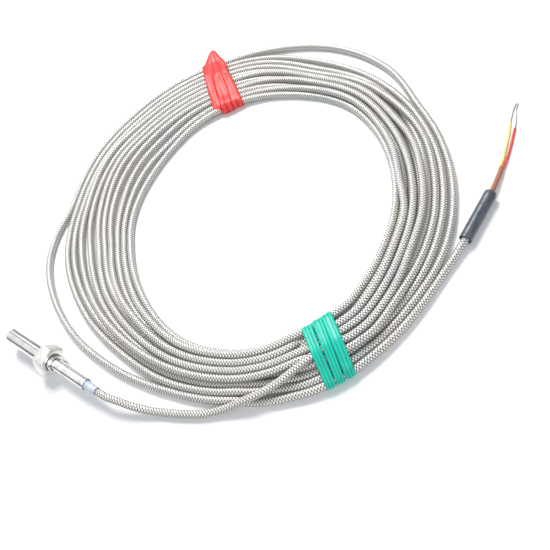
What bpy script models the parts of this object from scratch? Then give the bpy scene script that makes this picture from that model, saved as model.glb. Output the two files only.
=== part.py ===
"""Surface temperature probe with a hexagon nut, on a long braided lead wound into a loose hank.

Metres, +Z up. The probe lies along X with its tip towards -X and one flat of its nut on the floor.
The origin is on the floor, below the middle of the probe.
"""

import math

import bmesh
import bpy
from mathutils import Matrix, Vector

# Fits
CLEAR = 0.0003                # gap between neighbouring pieces
CUT_EXTRA = 0.001             # how far a cutter runs past the face it opens

# Shank, the closed pocket that holds the junction
SHANK_DIAMETER = 0.0080
SHANK_FRONT = 0.0260          # from the tip to the nut
SHANK_BACK = 0.0018           # what shows behind the nut
SHANK_WALL = 0.0009
SHANK_TIP_WALL = 0.0015
SHANK_TIP_RADIUS = 0.0011     # rounding of the closed tip
SHANK_MOUTH_CHAMFER = 0.0004

# Hexagon nut
NUT_FLATS = 0.0130
NUT_LENGTH = 0.0065
NUT_CHAMFER_ANGLE = math.radians(28)
NUT_FACE_DIAMETER = 0.0124    # flat round face inside the chamfer

# Crimp tube, which fits the shank's bore
TUBE_WALL = 0.0003
TUBE_INSET = 0.0080           # length held inside the shank
TUBE_OUT = 0.0217             # length that shows behind the shank
TUBE_EDGE = 0.0001            # rounding of its open end

# Outlet sleeve, which fits the crimp tube's bore
SLEEVE_WALL = 0.0007
SLEEVE_INSET = 0.0060
SLEEVE_OUT = 0.0070
SLEEVE_TAPER = 0.0002         # how much its radius drops towards the lead

# Measuring junction and its two core wires
WIRE_DIAMETER = 0.0005
WIRE_PITCH = 0.0018
BEAD_LENGTH = 0.0016
BEAD_WIDTH = 0.0030

# Braided lead
LEAD_DIAMETER = 0.0035
LEAD_END_IN_SLEEVE = 0.0100   # how far the lead runs into the shrunk sleeve

# Hank: a ring of turns that lie side by side on the left and two deep on the right.
# Each row gives an angle in degrees about its centre, and the outer radius, inner radius
# and height there in millimetres; the rows are evenly spaced.
HANK_CENTRE = (0.0417, 0.1121)
HANK_OUTLINE = (
    (-60, 96.8, 73.5, 7.2), (-30, 101.6, 73.0, 9.2), (0, 97.3, 69.0, 7.2), (30, 97.6, 69.2, 7.2),
    (60, 98.4, 72.3, 6.8), (90, 100.4, 75.0, 6.8), (120, 107.3, 75.6, 7.2), (150, 113.6, 72.8, 7.2),
    (180, 117.8, 67.2, 4.2), (210, 108.5, 65.6, 3.9), (240, 99.5, 65.8, 5.6), (270, 95.4, 71.0, 6.8),
)
SECTION_POWER = 0.5           # 1 is an ellipse, smaller values square it up
HANK_STATIONS = 72
SECTION_POINTS = 24

# Flat ties, each wrapped three times round the hank; angles are about the hank's centre
RED_WIDTH = 0.0049
GREEN_WIDTH = 0.0042
TIE_THICKNESS = 0.0007
TIE_BED = math.radians(11)    # half of the stretch that is lifted by the tie under it
RED_WRAPS = ((138.6, -0.9), (134.7, 0.0), (130.8, 0.9))
GREEN_WRAPS = ((-35.95, 0.35), (-32.5, -0.5), (-29.45, -0.95))

# Twisted end of the red tie, from the outer top edge of the hank
TWIST_LENGTH = 0.0105
TWIST_ANGLE = math.radians(136.5)
TWIST_RISE = math.radians(38)
TWIST_TURN = math.radians(200)
TWIST_WIDTH = (0.0062, 0.0022)
TWIST_THICKNESS = (0.0016, 0.0010)
TWIST_STATIONS = 9

# Free end of the lead
SHRINK_DIAMETER = 0.0056
SHRINK_WALL = 0.0004
SHRINK_LENGTH = 0.0260
JACKET_DIAMETER = 0.0023
INSULATION_DIAMETER = 0.00115
CONDUCTOR_DIAMETER = 0.0005

# Routes, in millimetres, each a list of points that the piece's middle line passes through
PROBE_LEAD_ROUTE = (
    (31.9, 0.0, 6.5), (36.0, 0.1, 6.5), (40.1, 0.7, 6.3), (44.1, 1.6, 5.7), (48.9, 2.6, 4.7),
    (53.4, 3.9, 3.5), (58.0, 5.5, 2.5), (62.5, 7.4, 2.0), (71.4, 11.2, 1.8), (79.6, 15.5, 1.8),
    (84.0, 18.8, 2.2), (88.2, 22.6, 2.9), (92.6, 27.2, 4.0),
)
FREE_LEAD_ROUTE = (
    (141.1, 116.2, 1.8), (141.4, 119.6, 1.8), (141.8, 124.0, 1.9), (142.2, 129.0, 2.3),
    (142.5, 134.0, 2.8), (142.5, 139.0, 2.9), (142.5, 144.0, 2.9),
)
JACKET_ROUTE = (
    (142.5, 144.3, 2.9), (142.5, 150.0, 2.9), (142.5, 156.0, 2.8), (142.4, 162.0, 2.5),
    (142.0, 167.0, 2.0), (141.5, 171.5, 1.6), (140.9, 175.9, 1.2),
)
YELLOW_ROUTE = (
    (140.1, 176.2, 1.2), (139.5, 180.0, 0.9), (138.4, 185.0, 0.7), (137.3, 190.0, 0.6),
    (136.2, 194.5, 0.6), (135.0, 198.6, 0.6), (133.9, 202.2, 0.6),
)
RED_ROUTE = (
    (141.6, 176.3, 1.2), (141.2, 180.0, 0.9), (140.4, 185.0, 0.7), (139.4, 190.0, 0.6),
    (138.5, 193.8, 0.6), (137.2, 199.4, 0.6),
)
YELLOW_BARE_ROUTE = (
    (133.8, 202.5, 0.6), (133.3, 205.2, 0.5), (132.6, 208.0, 0.4), (132.1, 211.0, 0.3),
    (131.8, 214.3, 0.3),
)
RED_BARE_ROUTE = (
    (137.1, 199.8, 0.6), (136.2, 203.4, 0.5), (134.8, 207.0, 0.4), (133.4, 210.4, 0.3),
    (132.7, 214.3, 0.3),
)
STEPS_PER_DIAMETER = 0.4      # points on a finished route for each diameter of its length

# Places along the probe, worked out from the sizes above
SHANK_LENGTH = SHANK_FRONT + NUT_LENGTH + SHANK_BACK
PROBE_LENGTH = SHANK_LENGTH + TUBE_OUT + SLEEVE_OUT
X_TIP = -PROBE_LENGTH / 2
X_NUT_FRONT = X_TIP + SHANK_FRONT
X_NUT_BACK = X_NUT_FRONT + NUT_LENGTH
X_SHANK_BACK = X_TIP + SHANK_LENGTH
X_TUBE_FRONT = X_SHANK_BACK - TUBE_INSET
X_TUBE_BACK = X_SHANK_BACK + TUBE_OUT
X_SLEEVE_FRONT = X_TUBE_BACK - SLEEVE_INSET
X_SLEEVE_BACK = X_TUBE_BACK + SLEEVE_OUT
Z_AXIS = NUT_FLATS / 2

SHANK_BORE_RADIUS = SHANK_DIAMETER / 2 - SHANK_WALL
TUBE_RADIUS = SHANK_BORE_RADIUS - CLEAR
TUBE_BORE_RADIUS = TUBE_RADIUS - TUBE_WALL
SLEEVE_RADIUS = TUBE_BORE_RADIUS - CLEAR
ROUND_SEGMENTS = 48
FINE_SEGMENTS = 24


def clear_scene():
    for old in list(bpy.data.objects):
        bpy.data.objects.remove(old, do_unlink=True)


def material(name, colour, roughness, metallic=0.0, transmission=0.0):
    made = bpy.data.materials.new(name)
    made.use_nodes = True
    shader = made.node_tree.nodes["Principled BSDF"]
    shader.inputs["Base Color"].default_value = (*colour, 1.0)
    shader.inputs["Roughness"].default_value = roughness
    shader.inputs["Metallic"].default_value = metallic
    shader.inputs["Transmission Weight"].default_value = transmission
    made.diffuse_color = (*colour, 1.0)
    return made


def add_object(name, mesh, finish, smooth_angle=math.radians(35)):
    mesh.materials.append(finish)
    mesh.shade_smooth()
    mesh.set_sharp_from_angle(angle=smooth_angle)
    made = bpy.data.objects.new(name, mesh)
    bpy.context.scene.collection.objects.link(made)
    return made


def mesh_from(name, shape):
    bmesh.ops.recalc_face_normals(shape, faces=shape.faces)
    mesh = bpy.data.meshes.new(name)
    shape.to_mesh(mesh)
    shape.free()
    return mesh


def turned(name, outline, segments=ROUND_SEGMENTS):
    """Mesh turned about the probe's axis; outline is a closed run of (x, radius) points."""
    shape = bmesh.new()
    corners = [shape.verts.new((x, 0.0, radius)) for x, radius in outline]
    closed = outline[0][1] > 0.0 or outline[-1][1] > 0.0
    pairs = list(zip(corners, corners[1:]))
    if closed:
        pairs.append((corners[-1], corners[0]))
    edges = [shape.edges.new(pair) for pair in pairs]
    bmesh.ops.spin(shape, geom=corners + edges, cent=(0, 0, 0), axis=(1, 0, 0),
                   angle=math.tau, steps=segments)
    bmesh.ops.remove_doubles(shape, verts=shape.verts, dist=1e-6)
    bmesh.ops.translate(shape, verts=shape.verts, vec=(0, 0, Z_AXIS))
    return mesh_from(name, shape)


def arc(centre_x, centre_r, radius, start, end, steps):
    """Points of a round corner in the (x, radius) plane."""
    points = []
    for step in range(steps + 1):
        angle = start + (end - start) * step / steps
        points.append((centre_x + radius * math.cos(angle), centre_r + radius * math.sin(angle)))
    return points


def cutter(name, mesh):
    """Helper solid that only shapes another one."""
    made = bpy.data.objects.new(name, mesh)
    bpy.context.scene.collection.objects.link(made)
    made.hide_render = True
    made.display_type = 'WIRE'
    return made


def use_cutter(target, tool, operation='DIFFERENCE'):
    cut = target.modifiers.new(tool.name, 'BOOLEAN')
    cut.operation = operation
    cut.solver = 'EXACT'
    cut.object = tool
    return cut


def rod(name, x_start, x_end, radius, y_offset=0.0, segments=FINE_SEGMENTS):
    """Plain rod parallel to the probe's axis."""
    shape = bmesh.new()
    place = Matrix.Translation(((x_start + x_end) / 2, y_offset, Z_AXIS))
    turn = Matrix.Rotation(math.radians(90), 4, 'Y')
    bmesh.ops.create_cone(shape, cap_ends=True, segments=segments, radius1=radius, radius2=radius,
                          depth=x_end - x_start, matrix=place @ turn)
    return mesh_from(name, shape)


def make_shank(steel):
    outer = SHANK_DIAMETER / 2
    bore = SHANK_BORE_RADIUS
    chamfer = SHANK_MOUTH_CHAMFER
    tip = arc(X_TIP + SHANK_TIP_RADIUS, outer - SHANK_TIP_RADIUS, SHANK_TIP_RADIUS,
              math.pi, math.pi / 2, 6)
    outline = [(X_TIP, 0.0)] + tip
    outline += [(X_SHANK_BACK - chamfer, outer), (X_SHANK_BACK, outer - chamfer)]
    outline += [(X_SHANK_BACK, bore), (X_TIP + SHANK_TIP_WALL, bore), (X_TIP + SHANK_TIP_WALL, 0.0)]
    return add_object("shank", turned("shank", outline), steel)


def make_nut(steel):
    shape = bmesh.new()
    corner_radius = NUT_FLATS / math.sqrt(3)
    place = Matrix.Translation((X_NUT_FRONT + NUT_LENGTH / 2, 0, Z_AXIS))
    turn = Matrix.Rotation(math.radians(90), 4, 'Y')
    bmesh.ops.create_cone(shape, cap_ends=True, segments=6, radius1=corner_radius,
                          radius2=corner_radius, depth=NUT_LENGTH, matrix=place @ turn)
    nut = add_object("hex_nut", mesh_from("hex_nut", shape), steel, math.radians(25))

    # A turned blank with sloping ends rounds off the nut's corners on both faces
    face = NUT_FACE_DIAMETER / 2
    reach = corner_radius + CUT_EXTRA
    depth = (reach - face) * math.tan(NUT_CHAMFER_ANGLE)
    blank = [(X_NUT_FRONT - CLEAR / 10, 0.0), (X_NUT_FRONT - CLEAR / 10, face),
             (X_NUT_FRONT + depth, reach), (X_NUT_BACK - depth, reach),
             (X_NUT_BACK + CLEAR / 10, face), (X_NUT_BACK + CLEAR / 10, 0.0)]
    use_cutter(nut, cutter("nut_blank_guide", turned("nut_blank_guide", blank)), 'INTERSECT')

    hole = rod("nut_hole_guide", X_NUT_FRONT - CUT_EXTRA, X_NUT_BACK + CUT_EXTRA,
               SHANK_DIAMETER / 2 + CLEAR, segments=ROUND_SEGMENTS)
    use_cutter(nut, cutter("nut_hole_guide", hole))
    return nut


def make_tube(steel):
    outer = TUBE_RADIUS
    edge = TUBE_EDGE
    outline = [(X_TUBE_FRONT, outer), (X_TUBE_BACK - edge, outer), (X_TUBE_BACK, outer - edge),
               (X_TUBE_BACK, TUBE_BORE_RADIUS + edge), (X_TUBE_BACK - edge, TUBE_BORE_RADIUS),
               (X_TUBE_FRONT, TUBE_BORE_RADIUS)]
    return add_object("crimp_tube", turned("crimp_tube", outline), steel)


def make_outlet_sleeve(plastic):
    outer = SLEEVE_RADIUS
    bore = SLEEVE_RADIUS - SLEEVE_WALL
    outline = [(X_SLEEVE_FRONT, outer), ((X_TUBE_BACK + X_SLEEVE_BACK) / 2, outer),
               (X_SLEEVE_BACK, outer - SLEEVE_TAPER), (X_SLEEVE_BACK, bore),
               (X_SLEEVE_FRONT, bore)]
    return add_object("outlet_sleeve", turned("outlet_sleeve", outline), plastic)


def bead_span():
    start = X_TIP + SHANK_TIP_WALL + CLEAR
    return start, start + BEAD_LENGTH


def make_twin_bore_rod(name, x_start, x_end, radius, finish):
    """Rod with two through holes, one for each core wire."""
    body = add_object(name, rod(name, x_start, x_end, radius, segments=ROUND_SEGMENTS), finish)
    for side, letter in ((-1, "a"), (1, "b")):
        tool = rod(name + "_hole_" + letter, x_start - CUT_EXTRA, x_end + CUT_EXTRA,
                   WIRE_DIAMETER / 2 + CLEAR, side * WIRE_PITCH / 2, 12)
        use_cutter(body, cutter(name + "_hole_" + letter, tool))
    return body


def make_bead(alloy):
    start, end = bead_span()
    shape = bmesh.new()
    bmesh.ops.create_uvsphere(shape, u_segments=16, v_segments=10, radius=0.5)
    bmesh.ops.scale(shape, vec=(BEAD_LENGTH, BEAD_WIDTH, BEAD_LENGTH), verts=shape.verts)
    bmesh.ops.translate(shape, vec=((start + end) / 2, 0, Z_AXIS), verts=shape.verts)
    return add_object("hot_bead", mesh_from("hot_bead", shape), alloy)


def make_core(ceramic, cement, alloys):
    bead_end = bead_span()[1]
    make_twin_bore_rod("insulator", bead_end + CLEAR, X_TUBE_FRONT - CLEAR,
                       SHANK_BORE_RADIUS - CLEAR, ceramic)
    make_twin_bore_rod("seal_plug", X_TUBE_FRONT, X_SLEEVE_FRONT - CLEAR,
                       TUBE_BORE_RADIUS - CLEAR, cement)
    for side, letter, alloy in ((-1, "a", alloys[0]), (1, "b", alloys[1])):
        name = "core_wire_" + letter
        add_object(name, rod(name, bead_end + CLEAR / 2, X_SLEEVE_BACK, WIRE_DIAMETER / 2,
                             side * WIRE_PITCH / 2, 12), alloy)


def smooth_route(points, spacing):
    """Evenly spaced points on the smooth curve through a route's own points."""
    knots = [Vector(point) / 1000 for point in points]
    knots = [knots[0] * 2 - knots[1]] + knots + [knots[-1] * 2 - knots[-2]]
    fine = []
    for before, start, end, after in zip(knots, knots[1:], knots[2:], knots[3:]):
        for step in range(12):
            t = step / 12
            fine.append(0.5 * (2 * start + (end - before) * t
                               + (2 * before - 5 * start + 4 * end - after) * t ** 2
                               + (3 * start - before - 3 * end + after) * t ** 3))
    fine.append(knots[-2])
    lengths = [0.0]
    for first, second in zip(fine, fine[1:]):
        lengths.append(lengths[-1] + (second - first).length)
    count = max(4, round(lengths[-1] / spacing))
    even = []
    index = 0
    for step in range(count + 1):
        target = lengths[-1] * step / count
        while index < len(lengths) - 2 and lengths[index + 1] < target:
            index += 1
        share = (target - lengths[index]) / (lengths[index + 1] - lengths[index])
        even.append(fine[index].lerp(fine[index + 1], share))
    return even


def make_cord(name, route, diameter, finish):
    """Plain tube along a route."""
    line = bpy.data.curves.new(name, 'CURVE')
    line.dimensions = '3D'
    line.bevel_depth = diameter / 2
    line.bevel_resolution = 2
    line.use_fill_caps = True
    points = smooth_route(route, diameter / STEPS_PER_DIAMETER)
    spline = line.splines.new('POLY')
    spline.points.add(len(points) - 1)
    for knot, point in zip(spline.points, points):
        knot.co = (*point, 1.0)
    line.materials.append(finish)
    made = bpy.data.objects.new(name, line)
    bpy.context.scene.collection.objects.link(made)
    return made


def hank_size(angle):
    """Outer radius, inner radius and height of the hank at an angle, smooth all the way round."""
    count = len(HANK_OUTLINE)
    place = (math.degrees(angle) - HANK_OUTLINE[0][0]) / (360 / count)
    number = math.floor(place)
    t = place - number
    before, start, end, after = (HANK_OUTLINE[(number + step) % count] for step in (-1, 0, 1, 2))
    sizes = []
    for column in (1, 2, 3):
        slope = (end[column] - before[column]) / 2
        next_slope = (after[column] - start[column]) / 2
        sizes.append(((2 * t ** 3 - 3 * t ** 2 + 1) * start[column]
                      + (t ** 3 - 2 * t ** 2 + t) * slope
                      + (3 * t ** 2 - 2 * t ** 3) * end[column]
                      + (t ** 3 - t ** 2) * next_slope) / 1000)
    return sizes


def tie_lift(angle):
    """How far the hank's underside is raised by the tie that passes below it."""
    lift = 0.0
    for wraps in (RED_WRAPS, GREEN_WRAPS):
        middle = math.radians(wraps[1][0])
        away = math.atan2(math.sin(angle - middle), math.cos(angle - middle))
        lift += (TIE_THICKNESS + CLEAR) * math.exp(-(away / TIE_BED) ** 6)
    return lift


def hank_point(angle, turn, offset=0.0):
    """Point on the hank's skin; angle runs round the ring and turn round its section."""
    outer, inner, height = hank_size(angle)
    low = tie_lift(angle)
    half_width = (outer - inner) / 2 + offset
    half_height = (height - low) / 2 + offset
    across = math.copysign(abs(math.cos(turn)) ** SECTION_POWER, math.cos(turn))
    upward = math.copysign(abs(math.sin(turn)) ** SECTION_POWER, math.sin(turn))
    radius = (outer + inner) / 2 + half_width * across
    return Vector((HANK_CENTRE[0] + radius * math.cos(angle),
                   HANK_CENTRE[1] + radius * math.sin(angle),
                   (height + low) / 2 + half_height * upward))


def bridge_rings(shape, rings, closed):
    """Faces between neighbouring rings of vertices, with flat caps where the run is open."""
    follow = rings[1:] + rings[:1] if closed else rings[1:]
    for ring, following in zip(rings, follow):
        for index in range(len(ring)):
            after = (index + 1) % len(ring)
            shape.faces.new((ring[index], ring[after], following[after], following[index]))
    if not closed:
        shape.faces.new(rings[0])
        shape.faces.new(rings[-1])


def make_hank(braid):
    shape = bmesh.new()
    rings = []
    for station in range(HANK_STATIONS):
        angle = math.tau * station / HANK_STATIONS
        rings.append([shape.verts.new(hank_point(angle, math.tau * step / SECTION_POINTS))
                      for step in range(SECTION_POINTS)])
    bridge_rings(shape, rings, True)
    return add_object("coil", mesh_from("coil", shape), braid)


def make_wrap(name, middle, lean, width, plastic):
    """One turn of a flat tie round the hank; lean shifts its outer side along the ring."""
    shape = bmesh.new()
    rings = []
    for step in range(SECTION_POINTS):
        turn = math.tau * step / SECTION_POINTS
        angle = math.radians(middle + lean * math.cos(turn))
        reach = (hank_point(angle, turn).xy - Vector(HANK_CENTRE)).length
        half = width / 2 / reach
        rings.append([shape.verts.new(hank_point(angle + side * half, turn, offset))
                      for side, offset in ((-1, CLEAR), (1, CLEAR),
                                           (1, CLEAR + TIE_THICKNESS), (-1, CLEAR + TIE_THICKNESS))])
    bridge_rings(shape, rings, True)
    return add_object(name, mesh_from(name, shape), plastic)


def make_twist(name, plastic):
    """Twisted end of the red tie, a flattened cone that turns as it narrows."""
    outward = Vector((math.cos(TWIST_ANGLE), math.sin(TWIST_ANGLE), 0))
    run = outward * math.cos(TWIST_RISE) + Vector((0, 0, math.sin(TWIST_RISE)))
    along = Vector((-outward.y, outward.x, 0))
    start = hank_point(TWIST_ANGLE, math.radians(45), 2 * CLEAR + TIE_THICKNESS) + run * CLEAR
    shape = bmesh.new()
    rings = []
    for step in range(TWIST_STATIONS):
        share = step / (TWIST_STATIONS - 1)
        half_width = (TWIST_WIDTH[0] + (TWIST_WIDTH[1] - TWIST_WIDTH[0]) * share) / 2
        half_thick = (TWIST_THICKNESS[0] + (TWIST_THICKNESS[1] - TWIST_THICKNESS[0]) * share) / 2
        turn = Matrix.Rotation(TWIST_TURN * share, 3, run)
        wide = turn @ along
        thick = turn @ run.cross(along)
        middle = start + run * TWIST_LENGTH * share
        rings.append([shape.verts.new(middle + wide * half_width * a + thick * half_thick * b)
                      for a, b in ((1, 0.4), (0.7, 1), (-0.7, 1), (-1, 0.4),
                                   (-1, -0.4), (-0.7, -1), (0.7, -1), (1, -0.4))])
    bridge_rings(shape, rings, False)
    return add_object(name, mesh_from(name, shape), plastic)


def make_ties(red, green):
    for colour, wraps, width, finish in (("red", RED_WRAPS, RED_WIDTH, red),
                                         ("green", GREEN_WRAPS, GREEN_WIDTH, green)):
        for number, (middle, lean) in enumerate(wraps, start=1):
            make_wrap(colour + "_wrap_" + str(number), middle, lean, width, finish)
    make_twist("red_twist", red)


def make_shrink_sleeve(plastic):
    """Open sleeve over the end of the lead and the start of the inner jacket."""
    mouth = Vector(FREE_LEAD_ROUTE[-1]) / 1000 - Vector((0, LEAD_END_IN_SLEEVE, 0))
    outer = SHRINK_DIAMETER / 2
    bore = outer - SHRINK_WALL
    shape = bmesh.new()
    stations = ((0.0, outer), (SHRINK_LENGTH, outer), (SHRINK_LENGTH, bore), (0.0, bore))
    rings = []
    for along, radius in stations:
        rings.append([shape.verts.new(mouth + Vector((radius * math.cos(math.tau * step / 32), along,
                                                      radius * math.sin(math.tau * step / 32))))
                      for step in range(32)])
    bridge_rings(shape, rings, True)
    return add_object("end_sleeve", mesh_from("end_sleeve", shape), plastic)


def make_lead(braid, shrink, brown, yellow, red, alloys):
    make_cord("probe_lead", PROBE_LEAD_ROUTE, LEAD_DIAMETER, braid)
    make_cord("free_lead", FREE_LEAD_ROUTE, LEAD_DIAMETER, braid)
    make_shrink_sleeve(shrink)
    make_cord("inner_jacket", JACKET_ROUTE, JACKET_DIAMETER, brown)
    make_cord("yellow_wire", YELLOW_ROUTE, INSULATION_DIAMETER, yellow)
    make_cord("red_wire", RED_ROUTE, INSULATION_DIAMETER, red)
    make_cord("yellow_conductor", YELLOW_BARE_ROUTE, CONDUCTOR_DIAMETER, alloys[0])
    make_cord("red_conductor", RED_BARE_ROUTE, CONDUCTOR_DIAMETER, alloys[1])


def build():
    clear_scene()
    steel = material("bright_steel", (0.62, 0.61, 0.58), 0.22, 1.0)
    nut_steel = material("nut_steel", (0.55, 0.54, 0.50), 0.32, 1.0)
    tube_steel = material("tube_steel", (0.80, 0.79, 0.77), 0.14, 1.0)
    sleeve_plastic = material("pale_sleeve", (0.68, 0.78, 0.92), 0.35, 0.0, 0.2)
    ceramic = material("ceramic", (0.86, 0.84, 0.78), 0.7)
    cement = material("cement", (0.72, 0.70, 0.64), 0.85)
    alloy_a = material("conductor_a", (0.56, 0.55, 0.50), 0.35, 1.0)
    alloy_b = material("conductor_b", (0.60, 0.58, 0.54), 0.35, 1.0)
    braid = material("steel_braid", (0.60, 0.57, 0.53), 0.42, 0.6)
    shrink = material("dark_shrink", (0.035, 0.04, 0.05), 0.45)
    brown = material("brown_jacket", (0.30, 0.11, 0.06), 0.5)
    yellow = material("yellow_insulation", (0.92, 0.80, 0.16), 0.4)
    red = material("red_insulation", (0.75, 0.05, 0.04), 0.4)
    red_tie = material("red_tie", (0.80, 0.06, 0.05), 0.4)
    green_tie = material("green_tie", (0.01, 0.48, 0.32), 0.35)

    make_shank(steel)
    make_nut(nut_steel)
    make_tube(tube_steel)
    make_outlet_sleeve(sleeve_plastic)
    make_bead(alloy_a)
    make_core(ceramic, cement, (alloy_a, alloy_b))
    make_hank(braid)
    make_ties(red_tie, green_tie)
    make_lead(braid, shrink, brown, yellow, red, (alloy_a, alloy_b))


build()
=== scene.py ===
"""Looks of the surface temperature probe: braided lead, ties, finishes, light and camera.

Everything is in metres in the CAD's frame unless a name says otherwise.
"""

import math

import bmesh
import bpy
import numpy as np
from mathutils import Matrix, Vector


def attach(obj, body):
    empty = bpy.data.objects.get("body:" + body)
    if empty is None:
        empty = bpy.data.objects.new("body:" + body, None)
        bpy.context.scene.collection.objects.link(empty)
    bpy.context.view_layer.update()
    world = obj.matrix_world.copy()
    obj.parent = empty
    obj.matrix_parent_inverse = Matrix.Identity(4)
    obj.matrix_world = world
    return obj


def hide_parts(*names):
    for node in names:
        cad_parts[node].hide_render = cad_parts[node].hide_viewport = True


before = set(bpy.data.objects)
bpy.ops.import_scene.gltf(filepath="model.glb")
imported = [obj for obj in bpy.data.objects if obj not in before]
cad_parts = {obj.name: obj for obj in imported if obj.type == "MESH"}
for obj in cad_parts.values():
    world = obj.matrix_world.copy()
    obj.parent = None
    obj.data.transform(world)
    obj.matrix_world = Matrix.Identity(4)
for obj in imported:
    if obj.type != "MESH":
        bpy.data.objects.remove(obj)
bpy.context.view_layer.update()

MM = 0.001

# Camera, worked out from the photograph: 600 px focal length on a 550 px wide image
IMAGE_WIDTH = 550
FOCAL_PIXELS = 600
SENSOR_WIDTH = 36.0
CAMERA_PLACE = Vector((0.205124, 0.006252, 0.230301))
CAMERA_FORWARD = Vector((-0.47944912, 0.28779375, -0.82903757))
CAMERA_UP = Vector((-0.35124756, 0.80279363, 0.48181691))

# Lead
LEAD_DIAMETER = 0.0035
LEAD_SIDES = 14
LEAD_RING_STEP = 0.0021
BRAID_BANDS = 5               # bands of wire laid each way round the lead
BRAID_PITCH = 0.00135         # metres along the lead from one crossing to the next
BRAID_WIRES = 3               # wires side by side in a band
PLUS_SHIFT = 16384.0          # whole number that keeps the second set of bands above zero
YARN_SHIFT = 4096.0           # the same for the yarns of a woven cover
YARN_BANDS = 6.0              # yarns laid each way round a woven cover
CURVE_STEPS = 8               # pieces of curve between two points of a route

# The lead from the probe to the hank, in millimetres
PROBE_LEAD_ROUTE = (
    (31.2, 0.0, 6.5), (36.0, 0.1, 6.5), (40.1, 0.7, 6.3), (44.1, 1.6, 5.7), (48.9, 2.6, 4.7),
    (53.4, 3.9, 3.5), (58.0, 5.5, 2.5), (62.5, 7.4, 2.0), (71.4, 11.2, 1.8), (79.6, 15.5, 1.8),
)
# The lead from the hank to its free end, in millimetres
FREE_LEAD_ROUTE = (
    (141.1, 116.2, 1.8), (141.4, 119.6, 1.8), (141.8, 124.0, 1.9), (142.2, 129.0, 2.3),
    (142.5, 134.0, 2.8), (142.5, 139.0, 2.9), (142.5, 144.0, 2.9),
)

# Hank: the lanes that its turns follow, read off the photograph.
# Each row gives an angle about the hank's centre and the radii of lanes 0 to 10 there, in millimetres.
HANK_CENTRE = (41.7, 112.1)
LANES = (
    (-20, (75.1, 80.6, 78.6, 84.9, 81.8, 88.6, 85.0, 91.8, 87.6, 91.5, 95.0)),
    (-8, (72.3, 77.6, 75.7, 81.9, 79.0, 86.0, 82.5, 88.5, 86.4, 91.0, 95.6)),
    (6, (70.6, 75.0, 74.1, 79.5, 77.6, 82.9, 81.2, 86.9, 85.4, 90.8, 96.2)),
    (20, (70.6, 74.9, 74.4, 78.6, 78.2, 82.9, 81.9, 86.3, 85.7, 90.9, 96.0)),
    (34, (70.9, 73.0, 74.7, 78.3, 78.5, 82.7, 82.1, 87.1, 86.2, 91.3, 96.0)),
    (48, (72.2, 74.5, 76.2, 79.0, 80.1, 83.9, 83.8, 88.9, 87.8, 92.8, 96.5)),
    (62, (74.3, 76.2, 78.2, 80.3, 82.0, 84.2, 85.8, 89.4, 89.8, 95.0, 98.4)),
    (80, (77.1, 79.5, 81.0, 83.3, 84.9, 87.3, 88.8, 91.2, 93.2, 97.8, 107.6)),
    (100, (78.0, 79.9, 82.0, 83.6, 86.0, 87.6, 90.0, 92.3, 95.3, 101.6, 113.5)),
    (120, (78.6, 81.1, 84.5, 88.2, 91.3, 94.3, 97.2, 100.2, 103.4, 107.2, 114.0)),
    (134, (77.0, 80.0, 84.5, 88.5, 92.0, 95.3, 98.5, 101.8, 104.8, 107.8, 112.3)),
    (150, (75.0, 78.6, 84.5, 89.4, 93.0, 96.8, 100.6, 104.8, 107.4, 109.8, 113.8)),
    (165, (71.3, 75.6, 82.3, 88.6, 92.6, 96.6, 100.6, 105.0, 107.4, 109.4, 113.2)),
    (180, (68.9, 74.8, 81.0, 86.9, 92.3, 96.3, 101.0, 105.2, 106.8, 108.4, 111.6)),
    (200, (68.0, 72.4, 76.6, 82.3, 86.3, 90.0, 95.4, 100.2, 102.4, 104.6, 107.2)),
    (210, (67.8, 71.4, 74.9, 79.5, 83.6, 86.6, 92.3, 97.9, 101.2, 103.8, 112.0)),
    (220, (67.7, 70.6, 73.4, 77.1, 81.2, 83.6, 89.3, 95.0, 99.3, 102.3, 114.0)),
    (240, (69.0, 71.2, 74.3, 77.3, 80.3, 83.3, 86.8, 91.1, 94.0, 96.0, 108.2)),
    (260, (71.8, 73.6, 76.4, 78.0, 80.0, 82.0, 85.0, 88.8, 90.2, 92.0, 101.2)),
    (280, (75.2, 77.2, 78.8, 80.8, 82.4, 84.6, 86.0, 88.6, 89.8, 93.2, 97.2)),
    (300, (76.8, 78.6, 80.3, 82.0, 83.7, 85.6, 87.2, 89.2, 90.6, 93.8, 97.2)),
)
FIRST_LANE_ANGLE = LANES[0][0]
LAST_LANE_ANGLE = LANES[-1][0]
# The lane of each turn, from the probe's end; the turns change lanes at the green tie
TURN_LANES = (5, 3, 2, 1, 0, 4, 6, 7, 8, 9, 10)
UPPER_LANES = (1, 3, 5, 7)
LOWER_HEIGHT = 1.8            # millimetres at which a turn starts in the lower layer
UPPER_HEIGHT = 4.9            # and in the upper one
TURN_START = -60              # degrees at which a turn begins
CROSSING_TURN = 4             # the turn that ends by passing below its neighbours to lane 4
STATION_STEP = 3              # degrees between the hank's stations
FIRST_ANGLE = -66             # where the probe's lead comes beside the hank
LAST_ANGLE = 0                # where the free lead leaves it, after the last full turn
SHIFT_START = 300             # the change of lanes runs from here to SHIFT_END, past a full turn
SHIFT_END = 340

# The probe's lead as it climbs onto the hank: angle, radius and height in millimetres
CLIMB = ((-66, 102.6, 2.0), (-63, 101.2, 2.6), (-60, 99.8, 3.9), (-57, 98.4, 5.6), (-54, 96.9, 7.0),
         (-51, 95.3, 8.0), (-48, 93.6, 8.6), (-45, 91.6, 8.9), (-42, 89.8, 8.9),
         (-39, 88.5, 8.7), (-36, 87.6, 8.4), (-33, 87.0, 8.0), (-30, 86.8, 7.4))
# The last turn as it leaves the hank: angle and radius
LEAVING = ((300, 97.2), (304, 98.8), (308, 99.3), (314, 99.4), (320, 99.8), (328, 99.9), (334, 99.0),
           (340, 98.1), (346, 97.4), (351, 97.1), (356, 97.6), (360, 98.7))

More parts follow.
